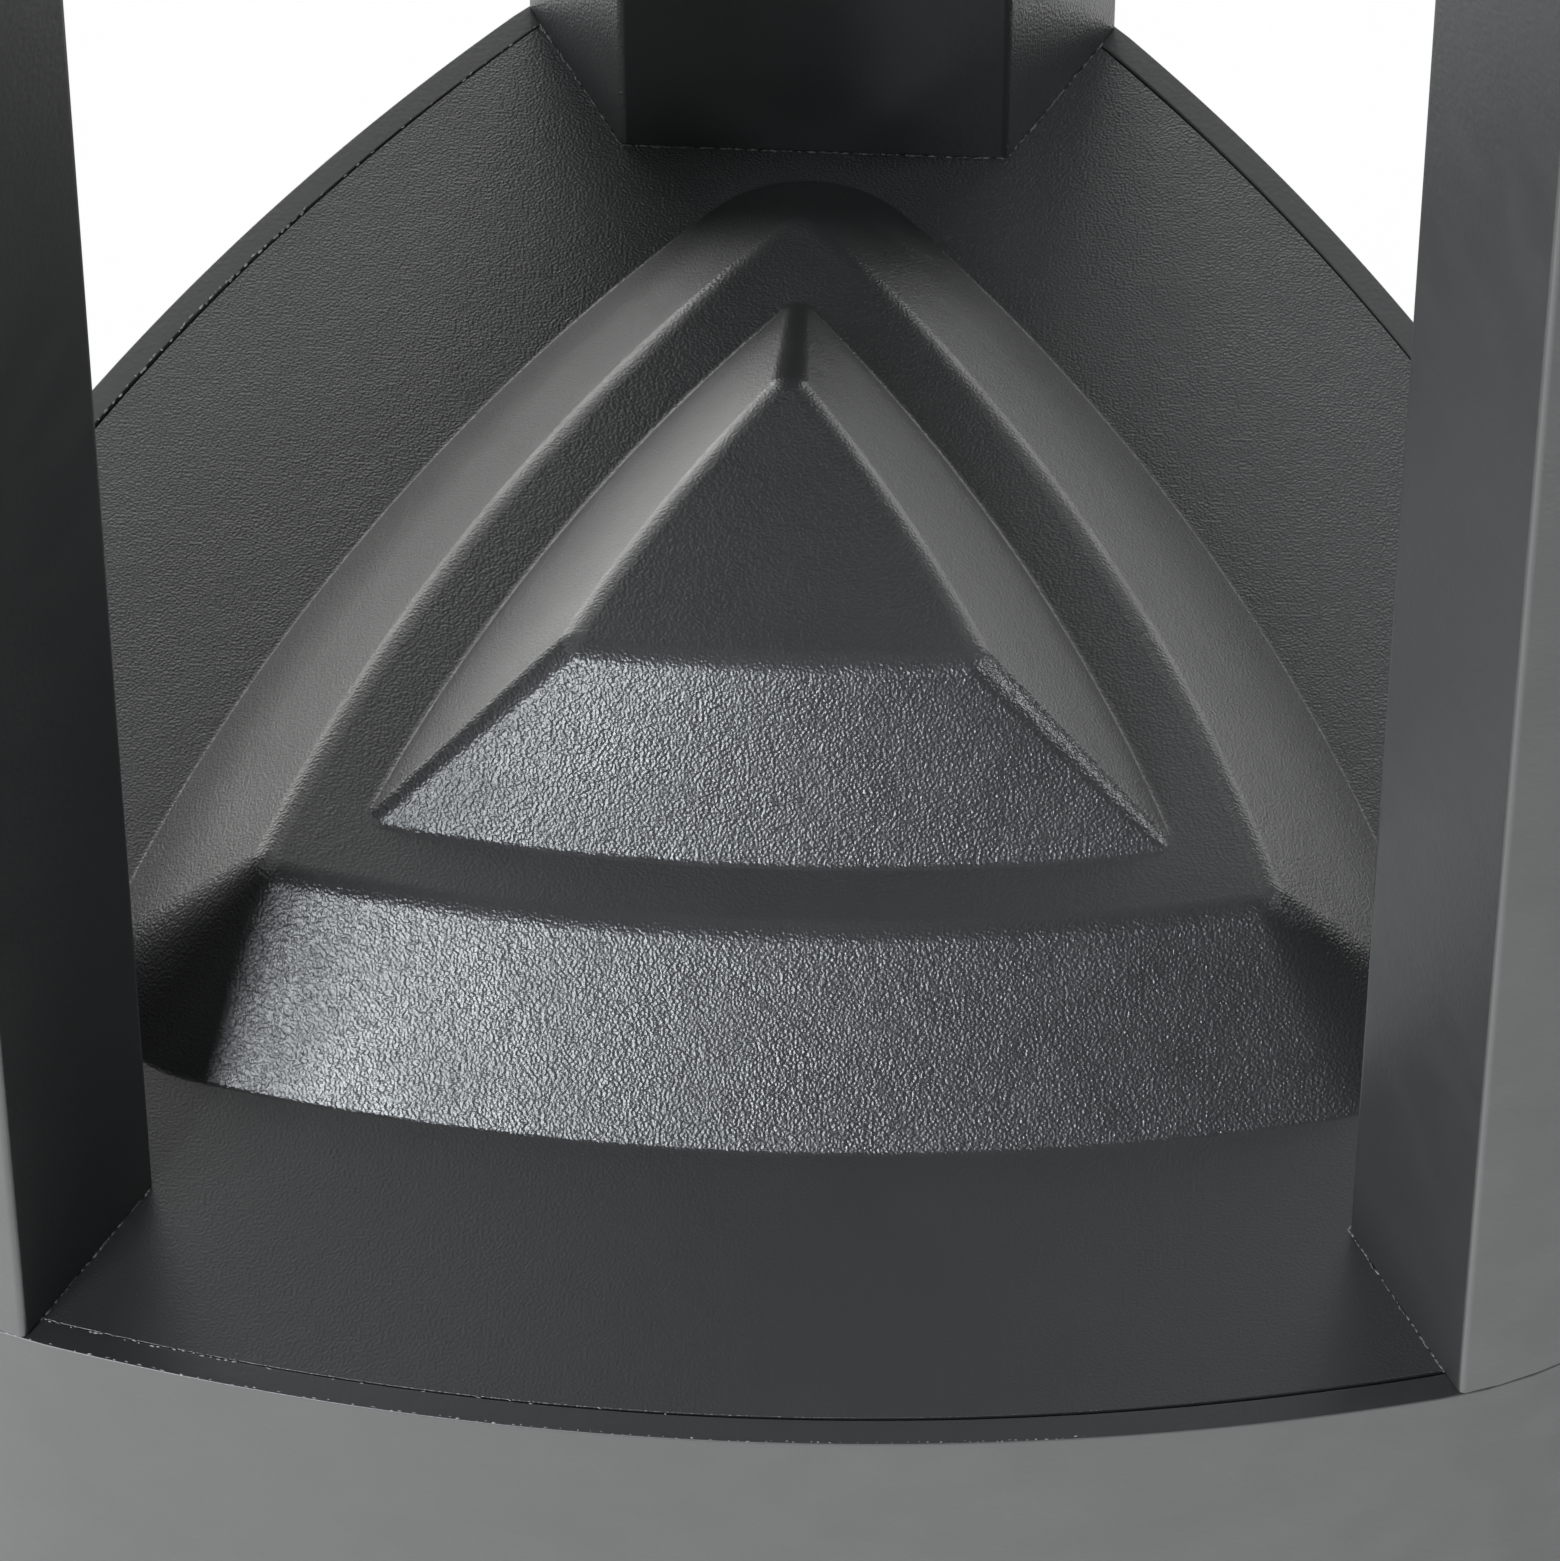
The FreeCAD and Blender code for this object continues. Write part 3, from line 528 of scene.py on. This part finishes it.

# light-grey beads along the feet of the posts; light flecks along seam and rim, partly paint chips
# and partly painted highlight of the edges
flakeNoise = {
    "driftScale": 1500.0, "driftDetail": 1.0, "driftStops": (0.35, 0.65),
    "patchScale": 2600.0, "patchDetail": 2.0,
}
flakeStrew = {"turn": 14, "gapSpread": (0.4, 1.6)}
beadLook = {
    "seed": 11, "dark": (0.05, 0.051, 0.05), "light": (0.21, 0.214, 0.21), "metal": 0.0,
    "smoothest": 0.3, "roughest": 0.5, "grainScale": 6000.0, "grainDepth": 0.00003,
}
beadRun = {"gap": 0.0007, "long": (0.0005, 0.0014), "wide": (0.00018, 0.00034), "stray": 0.00005}
# light flecks, partly paint chips and partly painted highlight along the seam and rim edges, strewn
# thickest towards the left
chipAndGlintLook = {**beadLook, "seed": 5, "dark": (0.15, 0.153, 0.15), "light": (0.46, 0.47, 0.46)}
chipAndGlintRuns = {
    "frontSeamDense": {
        "side": -90, "inset": 0.0025, "from": -0.066, "to": -0.043, "gap": 0.0009,
        "long": (0.0002, 0.0008), "wide": (0.0001, 0.00024), "stray": 0.00012,
    },
    "frontSeamThin": {
        "side": -90, "inset": 0.0025, "from": -0.043, "to": -0.005, "gap": 0.004,
        "long": (0.0002, 0.0008), "wide": (0.00008, 0.00018), "stray": 0.0001,
    },
    "rearLeftDense": {
        "side": 150, "inset": 0.0025, "from": -0.03, "to": 0.006, "gap": 0.0009,
        "long": (0.0002, 0.0009), "wide": (0.00018, 0.00036), "stray": 0.00014,
    },
    "rearLeftThin": {
        "side": 150, "inset": 0.0025, "from": -0.062, "to": -0.03, "gap": 0.0026,
        "long": (0.0002, 0.0008), "wide": (0.0001, 0.00022), "stray": 0.00012,
    },
    "frontRimLeft": {
        "side": -90, "inset": 0.0002, "from": -0.072, "to": -0.02, "gap": 0.0014,
        "long": (0.00015, 0.0006), "wide": (0.00008, 0.0002), "stray": 0.0001,
    },
    "frontRimMid": {
        "side": -90, "inset": 0.0002, "from": -0.02, "to": 0.03, "gap": 0.001,
        "long": (0.0001, 0.0004), "wide": (0.00008, 0.00018), "stray": 0.0001,
    },
}


def addFleck(bm, place, heading, run, dice):
    halfLong = dice.uniform(*run["long"]) / 2
    halfWide = dice.uniform(*run["wide"]) / 2
    halfTall = dice.uniform(*run["wide"]) / 2
    askew = heading + dice.uniform(-flakeStrew["turn"], flakeStrew["turn"])
    turn = Matrix.Rotation(math.radians(askew), 4, "Z")
    size = Matrix.Diagonal((halfLong, halfWide, halfTall, 1))
    bmesh.ops.create_icosphere(bm, subdivisions=1, radius=1.0,
                               matrix=Matrix.Translation(place) @ turn @ size)


def strewArc(bm, run, dice):
    radius = outlinePlan["sideRadius"] - run["inset"]
    offset = run["from"] + dice.random() * run["gap"]
    while offset < run["to"]:
        reach = math.sqrt(radius ** 2 - offset ** 2) - sideBack + dice.uniform(-1, 1) * run["stray"]
        heading = run["side"] + 90 + math.degrees(math.asin(offset / radius))
        addFleck(bm, ray(run["side"], reach, offset, levels["sill"]), heading, run, dice)
        offset += run["gap"] * dice.uniform(*flakeStrew["gapSpread"])


def strewFoot(bm, start, end, run, dice):
    across = end - start
    heading = math.degrees(math.atan2(across.y, across.x))
    walked = dice.random() * run["gap"]
    while walked < across.length:
        aside = ray(heading + 90, dice.uniform(-1, 1) * run["stray"])
        place = start + across * (walked / across.length) + aside
        addFleck(bm, place, heading, run, dice)
        walked += run["gap"] * dice.uniform(*flakeStrew["gapSpread"])


# the inner face and both sides of a post, as far as the inside of the column's wall
def postFootLines(angle, bar):
    wallRadius = outlinePlan["cornerRadius"] - columnTube["wall"]
    inner, reach, halfReach = postPlan(bar, wallRadius)[1:]
    corners = [ray(angle, reach, -halfReach, levels["sill"]),
               ray(angle, inner, -bar["halfWidth"], levels["sill"]),
               ray(angle, inner, bar["halfWidth"], levels["sill"]),
               ray(angle, reach, halfReach, levels["sill"])]
    return list(zip(corners, corners[1:]))


def buildBeads(look, run):
    dice = random.Random(look["seed"])
    bm = bmesh.new()
    for angle in postAngles.values():
        for start, end in postFootLines(angle, postBar):
            strewFoot(bm, start, end, run, dice)
    return makePiece("footBeads", bm, plainMaterial("lightBead", look, flakeNoise))


def buildChipsAndGlints(look, runs):
    dice = random.Random(look["seed"])
    bm = bmesh.new()
    for run in runs.values():
        strewArc(bm, run, dice)
    material = plainMaterial("rimChipAndGlint", look, flakeNoise)
    return makePiece("rimChipsAndGlints", bm, material)


buildBeads(beadLook, beadRun)
buildChipsAndGlints(chipAndGlintLook, chipAndGlintRuns)
print("beads and chips strewn")

# head casting, open below
headCast = {
    "wall": 0.0035, "top": 0.006,
    "crown": 0.004, "crownSteps": 8, "lip": 0.0004, "lipSteps": 3,
}


def buildHead(cast):
    bm = bmesh.new()
    ceiling, innerLip, outerLip, crown = loftOutlines(bm, [
        (cast["wall"], levels["headTop"] - cast["top"]),
        (cast["wall"], levels["headBottom"]),
        (0.0, levels["headBottom"]),
        (0.0, levels["headTop"]),
    ])
    bmesh.ops.contextual_create(bm, geom=ceiling)
    bmesh.ops.contextual_create(bm, geom=crown)
    roundEdges(bm, innerLip + outerLip, cast["lip"], cast["lipSteps"])
    roundEdges(bm, crown, cast["crown"], cast["crownSteps"])
    # the head takes the column's lighter copy of the coat, painted light
    piece = makePiece("headCasting", bm, paintedLightCoat)
    flattenNormals(piece)
    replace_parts(piece, "head_casting")
    return piece


buildHead(headCast)
print("head built")

# stage: a pale floor that looks whiter with distance, from reachNear to reachFar, its greyer middle
# a painted shade round the base besides the real shadow, and a dim world
stageSet = {
    "centre": (-1.75, 1.95, 0), "radius": 3.2, "segments": 96,
    "floorColour": (0.86, 0.865, 0.855), "floorRoughness": 0.9,
    "whiteNear": 0.86, "whiteFar": 0.985, "reachNear": 0.1, "reachFar": 0.34,
    "worldLight": 0.03,
}
floorBm = bmesh.new()
bmesh.ops.create_circle(floorBm, cap_ends=True, segments=stageSet["segments"],
                        radius=stageSet["radius"])
bmesh.ops.translate(floorBm, vec=stageSet["centre"], verts=floorBm.verts)
floor = addObject("floor", floorBm)

floorMaterial, floorTree, floorShader, floorCoords = newMaterial("paleFloor")
floorShader.inputs["Base Color"].default_value = (*stageSet["floorColour"], 1)
floorShader.inputs["Roughness"].default_value = stageSet["floorRoughness"]
floorGlow = floorTree.nodes.new("ShaderNodeEmission")
floorGlow.inputs["Color"].default_value = (1, 1, 1, 1)
floorMix = floorTree.nodes.new("ShaderNodeMixShader")
floorTree.links.new(floorShader.outputs["BSDF"], floorMix.inputs[1])
floorTree.links.new(floorGlow.outputs["Emission"], floorMix.inputs[2])
floorPath = floorTree.nodes.new("ShaderNodeLightPath")
whiteRay = addMath(floorTree, "MAXIMUM", floorPath.outputs["Is Camera Ray"],
                   floorPath.outputs["Is Glossy Ray"])
whiteRay = addMath(floorTree, "MAXIMUM", whiteRay, floorPath.outputs["Is Transmission Ray"])
floorReach = floorTree.nodes.new("ShaderNodeVectorMath")
floorReach.operation = "LENGTH"
floorTree.links.new(floorCoords.outputs["Object"], floorReach.inputs[0])
whiteness = addRange(floorTree, floorReach.outputs["Value"], stageSet["whiteNear"],
                     stageSet["whiteFar"], stageSet["reachNear"], stageSet["reachFar"])
floorTree.links.new(addMath(floorTree, "MULTIPLY", whiteRay, whiteness), floorMix.inputs["Fac"])
floorOutput = floorTree.nodes["Material Output"]
floorTree.links.new(floorMix.outputs["Shader"], floorOutput.inputs["Surface"])
floorMaterial.cycles.emission_sampling = "NONE"  # the glow only answers rays, it lights nothing
floor.data.materials.append(floorMaterial)

world = bpy.data.worlds.new("studio")
bpy.context.scene.world = world
world.use_nodes = True
worldTree = world.node_tree
surround = worldTree.nodes["Background"]
surround.inputs["Color"].default_value = (1, 1, 1, 1)
worldPath = worldTree.nodes.new("ShaderNodeLightPath")
worldLevel = addRange(worldTree, worldPath.outputs["Is Camera Ray"], stageSet["worldLight"], 1.0,
                      0.0, 1.0)
worldTree.links.new(worldLevel, surround.inputs["Strength"])

# each lamp: azimuth and elevation seen from the deflector, level against white, and what differs
# from the plain lamp in size and distance in metres or in tint
lampAim = Vector((0, 0, 0.41))
plainLamp = {"wide": 1.2, "tall": 1.0, "distance": 2.2, "tint": (1.0, 1.0, 1.0)}
lamps = {
    "keyLamp": {"azimuth": 238.5, "elevation": 31, "level": 15.6,
                "wide": 0.8, "tall": 1.05, "tint": (0.91, 0.96, 1.0)},
    "lowLeftLamp": {"azimuth": 212, "elevation": -5.4, "level": 9.0,
                    "tall": 0.38, "tint": (0.98, 1.0, 0.98)},
    "leftLamp": {"azimuth": 180, "elevation": 52, "level": 1.2, "tint": (0.97, 0.99, 1.0)},
    "rightPanel": {"azimuth": 9, "elevation": 35, "level": 15.5,
                   "wide": 0.42, "tall": 0.42, "tint": (0.95, 0.98, 1.0)},
    "rearLeftPanel": {"azimuth": 120, "elevation": 4, "level": 2.5, "tint": (1.0, 1.0, 0.98)},
    "lowRearPanel": {"azimuth": 115, "elevation": -16.6, "level": 4.0,
                     "wide": 0.9, "tall": 0.1, "distance": 1.2, "tint": (1.0, 1.0, 0.97)},
    "rearRightPanel": {"azimuth": 60, "elevation": 4, "level": 1.5},
    "rearPanel": {"azimuth": 95, "elevation": 28, "level": 1.35},
    "rearLeftLamp": {"azimuth": 120, "elevation": 52, "level": 0.5},
    "rearRightLamp": {"azimuth": 60, "elevation": 52, "level": 0.46},
}
for name, ownValues in lamps.items():
    lamp = {**plainLamp, **ownValues}
    light = bpy.data.lights.new(name, "AREA")
    light.shape = "RECTANGLE"
    light.size = lamp["wide"]
    light.size_y = lamp["tall"]
    light.energy = lamp["level"] * math.pi * lamp["wide"] * lamp["tall"]
    light.color = lamp["tint"]
    rise = math.radians(lamp["elevation"])
    away = lamp["distance"]
    holder = bpy.data.objects.new(name, light)
    holder.location = lampAim + ray(lamp["azimuth"], away * math.cos(rise), 0,
                                    away * math.sin(rise))
    holder.rotation_euler = (lampAim - holder.location).to_track_quat("-Z", "Y").to_euler()
    bpy.context.scene.collection.objects.link(holder)

# the photograph was taken with a long lens, looking down through the front window
view = {
    "place": (0.029442, -0.619344, 1.196982), "down": 52.290, "turn": 2.7066,
    "lens": 261.54, "sensor": 36.0,
}
camera = bpy.data.cameras.new("camera")
camera.lens = view["lens"]
camera.sensor_width = view["sensor"]
cameraHolder = bpy.data.objects.new("camera", camera)
cameraHolder.location = view["place"]
cameraHolder.rotation_euler = (math.radians(90 - view["down"]), 0, math.radians(view["turn"]))
bpy.context.scene.collection.objects.link(cameraHolder)
bpy.context.scene.camera = cameraHolder
bpy.context.scene.view_settings.view_transform = "Standard"
print("stage set")
